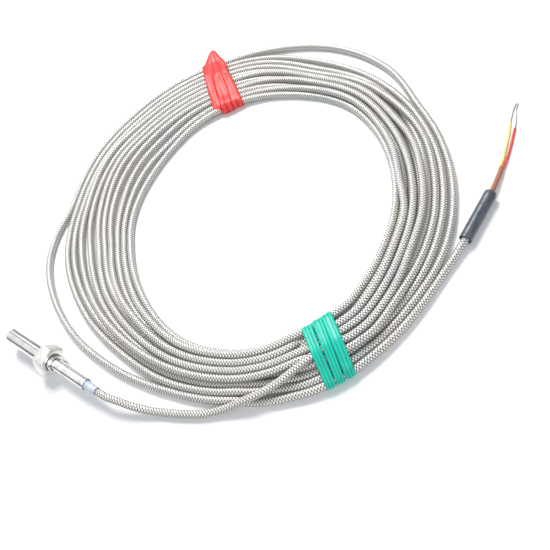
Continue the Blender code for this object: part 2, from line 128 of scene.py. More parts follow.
# Ties: angles of each strap at the hank's inner and outer side in degrees, and its widths there
# and its rise over the strap beside it and slack on the inner side, in millimetres
RED_STRAPS = ((139.2, 138.2, 4.9, 5.4, 1.0, -0.3), (135.1, 136.0, 6.6, 4.8, 0.5, 1.3),
              (130.3, 134.5, 6.6, 4.6, 0.0, 0.4))
GREEN_STRAPS = ((-35.8, -36.5, 4.8, 4.3, 0.0, -0.3), (-31.9, -34.1, 5.0, 3.7, 0.3, 0.1),
                (-28.5, -31.5, 5.2, 4.6, 0.7, 0.1))
STRAP_THICKNESS = 0.55
STRAP_STATIONS = 96
STRAP_COLUMNS = 11
STRAP_CLEAR = 0.35            # millimetres between a strap and the turns under it
STRAP_ROUNDING = 9            # rounds that soften the corners of its outline
CIRCLE_DOTS = 24              # points round each strand that a strap is stretched over
FLOOR_SKIN = 0.02             # millimetres that a strap keeps off the table
# The gathered end of the red tie, from its foot to its tip: angle, radius, height, half width, half depth
PEAK_RINGS = ((135.6, 98.0, 5.3, 5.6, 0.3), (135.6, 102.5, 5.7, 6.6, 0.5),
              (135.5, 106.5, 6.6, 7.2, 1.1), (135.5, 110.8, 7.3, 6.0, 2.0),
              (135.4, 114.6, 7.8, 4.0, 1.9), (135.2, 117.8, 8.4, 2.5, 1.3),
              (135.0, 120.0, 8.9, 1.2, 0.7))
PEAK_LEVELS = 25
PEAK_SIDES = 72
PEAK_LEAN = 0.5               # radians that its sections lean back
PEAK_TIP = 0.55               # share of its section that is left at the blunt tip
PEAK_SEAMS = (-0.36, 0.34)    # places of its two folds across the width
PEAK_SEAM_WIDTH = 0.10

# Shrunk sleeve at the free end, and the wires that come out of it, in millimetres
SLEEVE_START = (142.5, 134.0, 2.9)
SLEEVE_RADIUS = 2.8
SLEEVE_BORE = 2.4
SLEEVE_LENGTH = 26.0
SLEEVE_SIDES = 40
SLEEVE_STATIONS = 40
SLEEVE_SWELL = 23.8           # where it swells a little, from its start
JACKET_DIAMETER = 0.0023
INSULATION_DIAMETER = 0.00115
CONDUCTOR_DIAMETER = 0.0005
JACKET_SIDES = 18
JACKET_RING_STEP = 0.0005
WIRE_SIDES = 12
WIRE_RING_STEP = 0.0004
JACKET_ROUTE = (
    (142.5, 144.3, 2.9), (142.5, 150.0, 2.9), (142.5, 156.0, 2.8), (142.4, 162.0, 2.5),
    (142.0, 167.0, 2.0), (141.5, 171.5, 1.6), (140.9, 175.9, 1.2),
)
YELLOW_ROUTE = (
    (140.1, 175.0, 1.2), (139.5, 180.0, 0.9), (138.4, 185.0, 0.7), (137.3, 190.0, 0.6),
    (136.2, 194.5, 0.6), (135.0, 198.6, 0.6), (133.9, 202.2, 0.6),
)
YELLOW_BARE_ROUTE = (
    (133.3, 205.2, 0.5), (132.6, 208.0, 0.4), (132.1, 211.0, 0.3), (131.8, 214.3, 0.3),
)
RED_ROUTE = (
    (141.6, 175.0, 1.2), (141.2, 180.0, 0.9), (140.4, 185.0, 0.7), (139.4, 190.0, 0.6),
    (138.5, 193.8, 0.6), (137.2, 199.4, 0.6),
)
RED_BARE_ROUTE = (
    (136.2, 203.4, 0.5), (134.8, 207.0, 0.4), (133.4, 210.4, 0.3), (132.7, 214.3, 0.3),
)

# Table and lamps: places and sizes in metres in the frame's own axes, power in watts
TABLE_HALF = 3.0
KEY_PLACE = (-0.50, 0.58, 0.88)
KEY_SIZE = 0.48
KEY_POWER = 14.8
FRONT_PLACE = (0.60, -0.40, 0.75)
FRONT_SIZE = 0.8
FRONT_POWER = 4.1
LAMP_COLOUR = (1.0, 0.995, 0.985)
FILL_STRENGTH = 0.38
FILL_COLOUR = (0.84, 0.90, 1.0)

# Settling of the turns
SETTLE_ROUNDS = 700
FINISH_ROUNDS = 120
BEND_ROUNDS = 600
BEND_SAG = 0.50               # millimetres that a station may lie off the middle of its neighbours
BEND_SHARE = 0.6              # share of the rest that one round takes away
TURN_GAP = 0.05               # millimetres between two turns that touch
LANE_PULL = 0.04              # share of the way back to its lane in each round
SINK = 0.05                   # millimetres of fall in each round
STIFF_ACROSS = 0.35
STIFF_UP = 0.22
STIFF_FINISH = 0.1            # both, in the last rounds
TIE_ANGLES = (135.2, -32.6)
TIE_LIFT = 1.0                # millimetres that a tie lifts the turns over it
TIE_BED = 11.0                # degrees on each side that a tie lifts
GREEN_PINCH = (-33.0, 8.0, 78.4, 99.9)   # middle, half reach, and the radii it pulls the turns between
PINCH_EASE = 9.0              # millimetres by which its hold opens away from the tie


def lane_radius(lane, angle):
    """Smoothly interpolated radius of a lane at an angle between the first and last rows."""
    rows = [row[0] for row in LANES]
    index = int(np.clip(np.searchsorted(rows, angle, side="right") - 1, 0, len(rows) - 2))
    before = max(index - 1, 0)
    after = min(index + 2, len(rows) - 1)
    x0, x1, x2, x3 = (rows[i] for i in (before, index, index + 1, after))
    y0, y1, y2, y3 = (LANES[i][1][lane] for i in (before, index, index + 1, after))
    slope1 = (y2 - y0) / (x2 - x0)
    slope2 = (y3 - y1) / (x3 - x1)
    span = x2 - x1
    t = (angle - x1) / span
    return ((2 * t ** 3 - 3 * t ** 2 + 1) * y1 + (t ** 3 - 2 * t ** 2 + t) * span * slope1
            + (3 * t ** 2 - 2 * t ** 3) * y2 + (t ** 3 - t ** 2) * span * slope2)


def ease(value):
    value = min(max(value, 0.0), 1.0)
    return value * value * (3 - 2 * value)


def lane_height(lane):
    return UPPER_HEIGHT if lane in UPPER_LANES else LOWER_HEIGHT


def turn_target(turn, angle):
    """Radius and first height of a turn at its own angle, from TURN_START to the last lane row."""
    lane = TURN_LANES[min(turn, len(TURN_LANES) - 1)]
    before = TURN_LANES[turn - 1] if turn else None
    height = lane_height(lane)
    if turn and angle < SHIFT_END - 360:
        share = ease((angle + 360 - SHIFT_START) / (SHIFT_END - SHIFT_START))
        old = lane_radius(before, LAST_LANE_ANGLE)
        new = lane_radius(lane, FIRST_LANE_ANGLE)
        old_height = lane_height(before)
        return old + (new - old) * share, old_height + (height - old_height) * share
    return lane_radius(lane, max(angle, FIRST_LANE_ANGLE)), height


def first_layout():
    """Target radius, first height and a fixed mark for each station of the whole chain of turns."""
    per_turn = 360 // STATION_STEP
    turns = len(TURN_LANES)
    count = turns * per_turn + (LAST_ANGLE - FIRST_ANGLE) // STATION_STEP + 1
    radius = np.zeros(count)
    height = np.zeros(count)
    fixed = np.zeros(count, bool)
    climb = np.array(CLIMB, float)
    leaving = np.array(LEAVING, float)
    for index in range(count):
        turn = index // per_turn
        angle = FIRST_ANGLE + (index % per_turn) * STATION_STEP
        if angle < TURN_START and turn:
            turn -= 1
            angle += 360
        if turn == 0 and angle <= climb[-1, 0]:
            radius[index] = np.interp(angle, climb[:, 0], climb[:, 1])
            height[index] = np.interp(angle, climb[:, 0], climb[:, 2])
            fixed[index] = angle <= TURN_START
        elif turn >= turns or (turn == turns - 1 and angle > LAST_LANE_ANGLE):
            own = angle + 360 if turn >= turns else angle
            radius[index] = np.interp(own, leaving[:, 0], leaving[:, 1])
            height[index] = LOWER_HEIGHT
        else:
            radius[index], height[index] = turn_target(turn, angle)
            if turn == CROSSING_TURN + 1 and angle < FIRST_LANE_ANGLE:
                height[index] = LOWER_HEIGHT
    return radius, height, fixed


def tie_lift(angle):
    """How far the two ties lift the turns at an angle, in millimetres."""
    lift = 0.0
    for middle in TIE_ANGLES:
        away = (angle - middle + 180) % 360 - 180
        lift = lift + TIE_LIFT * np.exp(-(away / TIE_BED) ** 6)
    return lift


def pinch_walls(angle):
    """Least and greatest radius that the green tie leaves to a turn at an angle."""
    middle, reach, low, high = GREEN_PINCH
    away = (angle - middle + 180) % 360 - 180
    ease_off = PINCH_EASE * (1 - np.exp(-(away / reach / 1.5) ** 4))
    near = np.abs(away) < 3 * reach
    return np.where(near, low - ease_off, 0.0), np.where(near, high + ease_off, 1e3)


def smoothed(values, share):
    """The values, each moved by a share toward the middle of its neighbours."""
    result = values.copy()
    result[1:-1] += share * ((values[:-2] + values[2:]) / 2 - values[1:-1])
    return result


def settle():
    """Lets the turns sink and push each other apart; returns radius and height of each station."""
    per_turn = 360 // STATION_STEP
    target, height, fixed = first_layout()
    radius = target.copy()
    count = len(radius)
    rows = math.ceil(count / per_turn)
    padded = rows * per_turn
    present = np.zeros(padded, bool)
    present[:count] = True
    present = present.reshape(rows, per_turn)
    free = np.zeros(padded)
    free[:count] = ~fixed
    free = free.reshape(rows, per_turn)
    angle = FIRST_ANGLE + STATION_STEP * np.arange(count)
    floor = LEAD_DIAMETER / MM / 2 + tie_lift(angle)
    gap = LEAD_DIAMETER / MM + TURN_GAP
    least, most = pinch_walls(angle)
    pairs = [(a, b) for a in range(rows) for b in range(a + 1, rows)]
    for step in range(SETTLE_ROUNDS + FINISH_ROUNDS):
        moving = step < SETTLE_ROUNDS
        if moving:
            radius += np.where(fixed, 0, LANE_PULL * (target - radius))
            height -= np.where(fixed, 0, SINK)
            radius = np.where(fixed, radius, np.clip(radius, least, most))
        offset = smoothed(radius - target, STIFF_ACROSS if moving else STIFF_FINISH)
        radius = np.where(fixed, radius, target + offset)
        height = np.where(fixed, height, smoothed(height, STIFF_UP if moving else STIFF_FINISH))
        height = np.maximum(height, np.where(fixed, height, floor))
        r = np.zeros(padded)
        z = np.zeros(padded)
        r[:count] = radius
        z[:count] = height
        r = r.reshape(rows, per_turn)
        z = z.reshape(rows, per_turn)
        for a, b in pairs:
            dr = r[b] - r[a]
            dz = z[b] - z[a]
            apart = np.sqrt(dr * dr + dz * dz) + 1e-9
            push = np.where(present[a] & present[b], np.maximum(gap - apart, 0), 0) / apart
            weight = free[a] + free[b] + 1e-9
            r[a] -= dr * push * free[a] / weight
            z[a] -= dz * push * free[a] / weight
            r[b] += dr * push * free[b] / weight
            z[b] += dz * push * free[b] / weight
        radius = r.reshape(-1)[:count].copy()
        height = z.reshape(-1)[:count].copy()
        height = np.maximum(height, np.where(fixed, height, floor))
    return ease_bends(radius, height, fixed)


def ease_bends(radius, height, fixed):
    """Draws stations toward the middle of their neighbours where the lead would bend too tightly."""
    for step in range(BEND_ROUNDS):
        across = (radius[:-2] + radius[2:]) / 2 - radius[1:-1]
        up = (height[:-2] + height[2:]) / 2 - height[1:-1]
        sag = np.sqrt(across ** 2 + up ** 2) + 1e-9
        share = np.where(fixed[1:-1], 0, np.clip(1 - BEND_SAG / sag, 0, 1) * BEND_SHARE)
        radius[1:-1] += share * across
        height[1:-1] += share * up
    return radius, height


def hank_points(layout):
    """Points of the settled turns in the frame, in metres."""
    radius, height = layout
    points = []
    for index, (r, z) in enumerate(zip(radius, height)):
        angle = math.radians(FIRST_ANGLE + STATION_STEP * index)
        points.append(Vector((HANK_CENTRE[0] + r * math.cos(angle),
                              HANK_CENTRE[1] + r * math.sin(angle), z)) * MM)
    return points


def even_route(knots, spacing):
    """Evenly spaced points on the smooth curve through the given points, in metres."""
    knots = [knots[0] * 2 - knots[1]] + list(knots) + [knots[-1] * 2 - knots[-2]]
    fine = []
    for before, start, end, after in zip(knots, knots[1:], knots[2:], knots[3:]):
        for step in range(CURVE_STEPS):
            t = step / CURVE_STEPS
            fine.append(0.5 * (2 * start + (end - before) * t
                               + (2 * before - 5 * start + 4 * end - after) * t ** 2
                               + (3 * start - before - 3 * end + after) * t ** 3))
    fine.append(knots[-2])
    lengths = [0.0]
    for first, second in zip(fine, fine[1:]):
        lengths.append(lengths[-1] + (second - first).length)
    count = max(4, round(lengths[-1] / spacing))
    even = []
    index = 0
    for step in range(count + 1):
        goal = lengths[-1] * step / count
        while index < len(lengths) - 2 and lengths[index + 1] < goal:
            index += 1
        share = (goal - lengths[index]) / (lengths[index + 1] - lengths[index])
        even.append(fine[index].lerp(fine[index + 1], share))
    return even, lengths[-1]


def finished_mesh(name, shape, sharp_degrees=None):
    """Smooth-shaded mesh of a shape, with hard edges above an angle where one is given."""
    mesh = bpy.data.meshes.new(name)
    shape.to_mesh(mesh)
    shape.free()
    mesh.shade_smooth()
    if sharp_degrees:
        mesh.set_sharp_from_angle(angle=math.radians(sharp_degrees))
    return mesh


def tube_mesh(name, points, radii, sides, length, second_from=1.0):
    """Tube along points, with a map whose U runs round the tube and V along it in metres.

    Its faces take the second finish from the share second_from of its length.
    """
    shape = bmesh.new()
    layer = shape.loops.layers.uv.new("Lay")
    frames = []
    tangent = (points[1] - points[0]).normalized()
    side = tangent.orthogonal().normalized()
    for index, point in enumerate(points):
        ahead = points[min(index + 1, len(points) - 1)]
        behind = points[max(index - 1, 0)]
        along = (ahead - behind).normalized()
        side = (side - along * side.dot(along)).normalized()
        frames.append((point, side, along.cross(side)))
    rings = []
    for (point, a, b), radius in zip(frames, radii):
        ring = []
        for step in range(sides):
            turn = math.tau * step / sides
            ring.append(shape.verts.new(point + (a * math.cos(turn) + b * math.sin(turn)) * radius))
        rings.append(ring)
    for number, (ring, following) in enumerate(zip(rings, rings[1:])):
        low = length * number / (len(rings) - 1)
        high = length * (number + 1) / (len(rings) - 1)
        for step in range(sides):
            after = (step + 1) % sides
            face = shape.faces.new((ring[step], ring[after], following[after], following[step]))
            corners = ((step, low), (step + 1, low), (step + 1, high), (step, high))
            face.material_index = 1 if number / (len(rings) - 1) >= second_from else 0
            for loop, (u, v) in zip(face.loops, corners):
                loop[layer].uv = (u / sides, v)
    shape.faces.new(reversed(rings[0]))
    shape.faces.new(rings[-1]).material_index = 1 if second_from < 1.0 else 0
    return finished_mesh(name, shape)


def add_piece(name, mesh, *finishes):
    """Object with its finishes in order, riding on the part's one body."""
    for finish in finishes:
        mesh.materials.append(finish)
    made = bpy.data.objects.new(name, mesh)
    bpy.context.scene.collection.objects.link(made)
    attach(made, "root")
    return made


def plain_material(name, colour, roughness, metallic=0.0):
    made = bpy.data.materials.new(name)
    made.use_nodes = True
    shader = made.node_tree.nodes["Principled BSDF"]
    shader.inputs["Base Color"].default_value = (*colour, 1.0)
    shader.inputs["Roughness"].default_value = roughness
    shader.inputs["Metallic"].default_value = metallic
    return made


def calc(tree, operation, *values):
    """Math node whose inputs are numbers or other nodes' outputs."""
    made = tree.nodes.new("ShaderNodeMath")
    made.operation = operation
    for socket, value in zip(made.inputs, values):
        if isinstance(value, bpy.types.NodeSocket):
            tree.links.new(value, socket)
        else:
            socket.default_value = value
    return made.outputs[0]


def steps(tree, factor, stops):
    """Colour ramp through (position, colour) stops."""
    ramp = tree.nodes.new("ShaderNodeValToRGB")
    while len(ramp.color_ramp.elements) < len(stops):
        ramp.color_ramp.elements.new(0.5)
    for element, (position, colour) in zip(ramp.color_ramp.elements, stops):
        element.position = position
        element.color = (*colour, 1.0)
    tree.links.new(factor, ramp.inputs["Fac"])
    return ramp.outputs["Color"]


def blend_colours(tree, factor, first, second, how='MIX'):
    """Mix node whose inputs are numbers, colours or other nodes' outputs."""
    made = tree.nodes.new("ShaderNodeMix")
    made.data_type = 'RGBA'
    made.blend_type = how
    for socket, value in ((made.inputs[0], factor), (made.inputs[6], first), (made.inputs[7], second)):
        if isinstance(value, bpy.types.NodeSocket):
            tree.links.new(value, socket)
        else:
            socket.default_value = value if isinstance(value, float) else (*value, 1.0)
    return made.outputs[2]


def placed(tree, stretch=(1, 1, 1)):
    """The frame's own coordinates, stretched."""
    source = tree.nodes.new("ShaderNodeTexCoord")
    change = tree.nodes.new("ShaderNodeMapping")
    change.inputs["Scale"].default_value = stretch
    tree.links.new(source.outputs["Object"], change.inputs["Vector"])
    return change.outputs["Vector"]


def noise(tree, scale, detail=2.0, stretch=(1, 1, 1)):
    made = tree.nodes.new("ShaderNodeTexNoise")
    made.inputs["Scale"].default_value = scale
    made.inputs["Detail"].default_value = detail
    tree.links.new(placed(tree, stretch), made.inputs["Vector"])
    return made.outputs["Fac"]


def lay(tree):
    """Share of the way round and metres along, from the piece's own map."""
    source = tree.nodes.new("ShaderNodeUVMap")
    source.uv_map = "Lay"
    parts = tree.nodes.new("ShaderNodeSeparateXYZ")
    tree.links.new(source.outputs["UV"], parts.inputs["Vector"])
    return parts.outputs["X"], parts.outputs["Y"]


def set_bump(tree, height, strength, distance):
    made = tree.nodes.new("ShaderNodeBump")
    made.inputs["Strength"].default_value = strength
    made.inputs["Distance"].default_value = distance
    tree.links.new(height, made.inputs["Height"])
    tree.links.new(made.outputs["Normal"], tree.nodes["Principled BSDF"].inputs["Normal"])


def set_colour(tree, colour):
    tree.links.new(colour, tree.nodes["Principled BSDF"].inputs["Base Color"])


def set_roughness(tree, factor, low, high):
    span = calc(tree, 'MULTIPLY_ADD', factor, high - low, low)
    tree.links.new(span, tree.nodes["Principled BSDF"].inputs["Roughness"])


def arch(tree, value):
    """Rounded profile of a value between two whole numbers: 0 at both, 1 half way."""
    return calc(tree, 'SINE', calc(tree, 'MULTIPLY', calc(tree, 'FRACT', value), math.pi))


def braid_material():
    """Two sets of wire bands that pass over and under each other, with painted shade: near black in the
    hollows between the wires, lightest on their crowns, and darker where the first set of bands lies on
    top.
    """
    made = plain_material("steel_braid", (0.60, 0.58, 0.55), 0.36, 0.45)
    tree = made.node_tree
    around, along = lay(tree)
    turn = calc(tree, 'MULTIPLY', around, BRAID_BANDS)
    run = calc(tree, 'DIVIDE', along, BRAID_PITCH)
    one = calc(tree, 'ADD', turn, run)
    two = calc(tree, 'ADD', calc(tree, 'SUBTRACT', turn, run), PLUS_SHIFT)
    place = calc(tree, 'ADD', calc(tree, 'FLOOR', one), calc(tree, 'FLOOR', two))
    top = calc(tree, 'LESS_THAN', calc(tree, 'FRACT', calc(tree, 'MULTIPLY', place, 0.5)), 0.25)
    under = calc(tree, 'SUBTRACT', 1.0, top)

    def of_top(first, second):
        return calc(tree, 'ADD', calc(tree, 'MULTIPLY', first, top),
                    calc(tree, 'MULTIPLY', second, under))

    ridge = of_top(arch(tree, one), arch(tree, two))
    dip = of_top(arch(tree, two), arch(tree, one))
    wires = of_top(arch(tree, calc(tree, 'MULTIPLY', one, BRAID_WIRES)),
                   arch(tree, calc(tree, 'MULTIPLY', two, BRAID_WIRES)))
    full = calc(tree, 'MULTIPLY', calc(tree, 'POWER', ridge, 0.6), calc(tree, 'POWER', dip, 0.35))
    height = calc(tree, 'MULTIPLY_ADD', wires, 0.16, full)
    # Painted shade and highlight: colour follows the wires' height, near black in the hollows and
    # lightest on the crowns
    painted_shading = steps(tree, calc(tree, 'MULTIPLY_ADD', wires, 0.14, full),
                  ((0.0, (0.010, 0.010, 0.010)), (0.42, (0.12, 0.118, 0.114)),
                   (0.68, (0.64, 0.632, 0.615)), (0.95, (0.94, 0.93, 0.91))))
    # Painted shade: cells where the first set of bands lies on top are darker
    painted_band_shading = blend_colours(tree, top, (1.0, 1.0, 1.0), (0.78, 0.77, 0.755))
    painted_shading = blend_colours(tree, 1.0, painted_shading, painted_band_shading, 'MULTIPLY')
    tint = steps(tree, noise(tree, 34.0, 2.0),
                 ((0.35, (0.93, 0.97, 0.96)), (0.5, (0.99, 0.99, 0.97)), (0.68, (1.0, 0.96, 0.945))))
    set_colour(tree, blend_colours(tree, 1.0, painted_shading, tint, 'MULTIPLY'))
    set_bump(tree, height, 0.9, 0.00022)
    set_roughness(tree, noise(tree, 900.0), 0.26, 0.48)
    return made


def turned_steel(name, colour, low, high, stretch, depth):
    """Steel with fine lines along one way, small stains and a slightly uneven gloss."""
    made = plain_material(name, colour, low, 1.0)
    tree = made.node_tree
    lines = noise(tree, 1.0, 3.0, stretch)
    stains = noise(tree, 240.0, 4.0)
    dull = tuple(value * 0.80 for value in colour)
    set_colour(tree, steps(tree, stains, ((0.34, dull), (0.56, colour))))
    set_roughness(tree, lines, low, high)
    set_bump(tree, lines, 0.35, depth)
    return made


def tie_material(name, painted_shades, ribs, rib_depth):
    """Soft glossy plastic strap with ribs along it and a cloudy depth of colour, with painted shade in
    the rib grooves and a painted highlight on the rib crests.
    """
    made = plain_material(name, painted_shades[1], 0.4)
    tree = made.node_tree
    shader = tree.nodes["Principled BSDF"]
    shader.inputs["Specular IOR Level"].default_value = 0.35
    shader.inputs["Subsurface Weight"].default_value = 0.12
    shader.inputs["Subsurface Scale"].default_value = 0.0008
    shader.inputs["Subsurface Radius"].default_value = (1.0, 0.6, 0.5)
    across = lay(tree)[0]
    groove = arch(tree, calc(tree, 'MULTIPLY', across, ribs))
    # Painted shade in the rib grooves and painted highlight on the rib crests: darkest, plain and
    # lightest colour
    painted_shading = steps(tree, groove, ((0.0, painted_shades[0]), (0.45, painted_shades[1]), (1.0, painted_shades[2])))
    cloud = steps(tree, noise(tree, 320.0, 3.0),
                  ((0.3, (0.86, 0.86, 0.86)), (0.65, (1.0, 1.0, 1.0))))
    set_colour(tree, blend_colours(tree, 1.0, painted_shading, cloud, 'MULTIPLY'))
    set_bump(tree, groove, 0.8, rib_depth)
    set_roughness(tree, noise(tree, 700.0), 0.30, 0.50)
    return made


def cloudy_material(name, dark, light, scale, roughness, depth, stretch=(1, 1, 1)):
    """Colour that wanders between two shades, with a fine grain."""
    made = plain_material(name, light, roughness[0])
    tree = made.node_tree
    grain = noise(tree, scale, 4.0, stretch)
    set_colour(tree, steps(tree, grain, ((0.32, dark), (0.62, light))))
    set_roughness(tree, grain, *roughness)
    set_bump(tree, grain, 0.5, depth)
    return made


def sleeve_material():
    """Thin pale sleeve that lets some light through."""
    made = cloudy_material("pale_sleeve", (0.60, 0.70, 0.90), (0.80, 0.87, 0.98), 420.0,
                           (0.28, 0.42), 0.00004)
    shader = made.node_tree.nodes["Principled BSDF"]
    shader.inputs["Transmission Weight"].default_value = 0.35
    shader.inputs["Subsurface Weight"].default_value = 0.2
    shader.inputs["Subsurface Scale"].default_value = 0.001
    return made


def woven_material(name, dark, light, pitch):
    """Glass fibre yarn laid round a wire, under varnish, with painted shade: the darker colour between
    the yarns and the lighter one on their crowns.
    """
    made = plain_material(name, light, 0.45)
    tree = made.node_tree
    around, along = lay(tree)
    turn = calc(tree, 'MULTIPLY', around, YARN_BANDS)
    run = calc(tree, 'DIVIDE', along, pitch)
    one = calc(tree, 'ADD', turn, run)
    two = calc(tree, 'ADD', calc(tree, 'SUBTRACT', turn, run), YARN_SHIFT)
    yarn = calc(tree, 'MULTIPLY', arch(tree, one), arch(tree, two))
    # Painted shade between the yarns, lighter on their crowns
    set_colour(tree, steps(tree, yarn, ((0.0, dark), (0.5, light))))
    set_bump(tree, yarn, 0.7, 0.00008)
    set_roughness(tree, noise(tree, 900.0), 0.34, 0.52)
    return made


def add_lead(layout, sleeve):
    """The whole braided lead in one piece, from the probe through the hank to its free end."""
    knots = [Vector(point) * MM for point in PROBE_LEAD_ROUTE]
    knots += hank_points(layout)
    knots += [Vector(point) * MM for point in FREE_LEAD_ROUTE]
    points, length = even_route(knots, LEAD_RING_STEP)
    radii = [LEAD_DIAMETER / 2] * len(points)
    radii[0] = LEAD_DIAMETER * 0.40
    mesh = tube_mesh("braided_lead", points, radii, LEAD_SIDES, length)
    lead = add_piece("braided_lead", mesh, braid_material())
    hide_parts("probe_lead", "coil", "free_lead")


def turns_at(radius, height, angle):
    """Radius and height of every strand that passes an angle, in millimetres."""
    found = []
    place = (angle - FIRST_ANGLE) % 360 / STATION_STEP
    while place < len(radius) - 1:
        low = int(place)
        share = place - low
        found.append((radius[low] * (1 - share) + radius[low + 1] * share,
                      height[low] * (1 - share) + height[low + 1] * share))
        place += 360 / STATION_STEP
    return found


def stretched_round(centres, reach):
    """Outline of a band stretched round circles: points of their convex hull, evenly spaced."""
    dots = []
    for r, z in centres:
        for step in range(CIRCLE_DOTS):
            turn = math.tau * step / CIRCLE_DOTS
            dots.append((r + reach * math.cos(turn), max(z + reach * math.sin(turn), FLOOR_SKIN)))
    dots.sort()

    def half(run):
        hull = []
        for dot in run:
            while len(hull) > 1 and ((hull[-1][0] - hull[-2][0]) * (dot[1] - hull[-2][1])
                                     - (hull[-1][1] - hull[-2][1]) * (dot[0] - hull[-2][0])) <= 0:
                hull.pop()
            hull.append(dot)
        return hull[:-1]

    hull = half(dots) + half(reversed(dots))
    hull.append(hull[0])
    lengths = [0.0]
    for first, second in zip(hull, hull[1:]):
        lengths.append(lengths[-1] + math.dist(first, second))
    wanted = np.linspace(0, lengths[-1], STRAP_STATIONS, endpoint=False)
    return (np.interp(wanted, lengths, [dot[0] for dot in hull]),
            np.interp(wanted, lengths, [dot[1] for dot in hull]), lengths[-1])


def strap_mesh(name, layout, strap, folds, seed):
    """Flat strap round the hank; folds gives each column's rise and how it wanders."""
    inner_angle, outer_angle, inner_width, outer_width, rise, slack = strap
    radius, height = layout
    strands = turns_at(radius, height, (inner_angle + outer_angle) / 2)
    reach = LEAD_DIAMETER / MM / 2 + STRAP_CLEAR
    r, z, total = stretched_round(strands, reach)
    for step in range(STRAP_ROUNDING):
        r = (np.roll(r, 1) + 2 * r + np.roll(r, -1)) / 4
        z = (np.roll(z, 1) + 2 * z + np.roll(z, -1)) / 4
    middle_r = (r.max() + r.min()) / 2
    middle_z = (z.max() + z.min()) / 2
    half_r = (r.max() - r.min()) / 2
    shape = bmesh.new()
    layer = shape.loops.layers.uv.new("Lay")
    rings = []
    count = len(r)
    for index in range(count):
        before, after = (index - 1) % count, (index + 1) % count
        tangent = Vector((r[after] - r[before], z[after] - z[before])).normalized()
        normal = Vector((tangent.y, -tangent.x))
        share = (r[index] - middle_r) / half_r * 0.5 + 0.5
        above = ease((z[index] - middle_z) / 1.5 + 0.5)
        centre = inner_angle + (outer_angle - inner_angle) * share
        width = inner_width + (outer_width - inner_width) * share
        around = math.tau * index / count
        outside = []
        inside = []
        for column in range(STRAP_COLUMNS):
            across = column / (STRAP_COLUMNS - 1) - 0.5
            wave = folds(across, around, seed) * (0.25 + 0.75 * above)
            lift = rise * above * ease(share * 1.6) + slack * ease(1 - share * 4)
            edge = 1 - abs(2 * across) ** 6
            for run, extra in ((outside, lift + wave + STRAP_THICKNESS * (0.45 + 0.55 * edge)),
                               (inside, lift + wave * 0.5)):
                flat_r = r[index] + normal.x * extra
                lowest = FLOOR_SKIN if run is inside else FLOOR_SKIN / 2
                flat_z = max(z[index] + normal.y * extra, lowest)
                angle = math.radians(centre) + across * width / flat_r
                run.append(shape.verts.new((HANK_CENTRE[0] + flat_r * math.cos(angle),
                                            HANK_CENTRE[1] + flat_r * math.sin(angle), flat_z)))
        rings.append(outside + inside[::-1])
    size = len(rings[0])
    for number, ring in enumerate(rings):
        following = rings[(number + 1) % count]
        low = total * number / count * MM
        high = total * (number + 1) / count * MM
        for step in range(size):
            after = (step + 1) % size
            face = shape.faces.new((ring[step], ring[after], following[after], following[step]))
            places = [min(place, size - 1 - place) / (STRAP_COLUMNS - 1) for place in (step, after)]
            for loop, uv in zip(face.loops, ((places[0], low), (places[1], low),
                                             (places[1], high), (places[0], high))):
                loop[layer].uv = uv
    bmesh.ops.scale(shape, vec=(MM, MM, MM), verts=shape.verts)
    bmesh.ops.recalc_face_normals(shape, faces=shape.faces)
    return finished_mesh(name, shape, 50)


def red_folds(across, around, seed):
    """Creases of the red straps: two soft folds that wander across the strap as it runs."""
    fold = math.sin(across * 4.4 + 1.6 * math.sin(around + seed) + seed * 2)
    crease = math.exp(-((across - 0.22 * math.sin(around * 1.5 + seed * 1.7)) / 0.07) ** 2)
    return 0.26 * fold - 0.22 * crease


def green_folds(across, around, seed):
    """The green straps stay nearly flat, with a shallow trough along them."""
    return 0.10 * math.cos(across * 12.6 + seed) * (0.6 + 0.4 * math.sin(around + seed))


def add_peak(finish):
    """Gathered, twisted end of the red tie: lobed rings that narrow and turn to a blunt tip."""
    shape = bmesh.new()
    layer = shape.loops.layers.uv.new("Lay")
    rings = []
    rows = np.array(PEAK_RINGS)
    for level in range(PEAK_LEVELS):
        share = level / (PEAK_LEVELS - 1)
        place = share * (len(rows) - 1)
        angle, reach, rise, wide, deep = (np.interp(place, range(len(rows)), column)
                                          for column in rows.T)
        outward = Vector((math.cos(math.radians(angle)), math.sin(math.radians(angle)), 0))
        along = Vector((-outward.y, outward.x, 0))
        centre = Vector((HANK_CENTRE[0], HANK_CENTRE[1], rise)) + outward * reach
        up = Vector((0, 0, 1)) * math.cos(PEAK_LEAN) - outward * math.sin(PEAK_LEAN)
        end = PEAK_TIP if level == PEAK_LEVELS - 1 else 1.0
        ring = []
        for step in range(PEAK_SIDES):
            turn = math.tau * step / PEAK_SIDES
            lobes = (1 + 0.05 * math.sin(3 * turn + 1.2 * share + 0.9)
                     + 0.09 * share * math.sin(5 * turn + 0.4))
            spot = (centre + along * math.cos(turn) * wide * lobes * end
                    + up * math.sin(turn) * deep * lobes * end)
            for seam in PEAK_SEAMS:
                groove = math.exp(-((math.cos(turn) - seam) / PEAK_SEAM_WIDTH) ** 2) * (0.7 - 0.4 * share)
                spot -= up * max(math.sin(turn), 0) * groove * ease(share * 6)
            ring.append(shape.verts.new(spot * MM))
        rings.append(ring)
    for number, (ring, following) in enumerate(zip(rings, rings[1:])):
        for step in range(PEAK_SIDES):
            after = (step + 1) % PEAK_SIDES
            face = shape.faces.new((ring[step], ring[after], following[after], following[step]))
            corners = ((step, number), (step + 1, number), (step + 1, number + 1), (step, number + 1))
            for loop, (u, v) in zip(face.loops, corners):
                loop[layer].uv = (u / PEAK_SIDES, v * MM)
    shape.faces.new(reversed(rings[0]))
    shape.faces.new(rings[-1])
    bmesh.ops.recalc_face_normals(shape, faces=shape.faces)
    peak = add_piece("red_peak", finished_mesh("red_peak", shape), finish)
    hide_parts("red_twist")


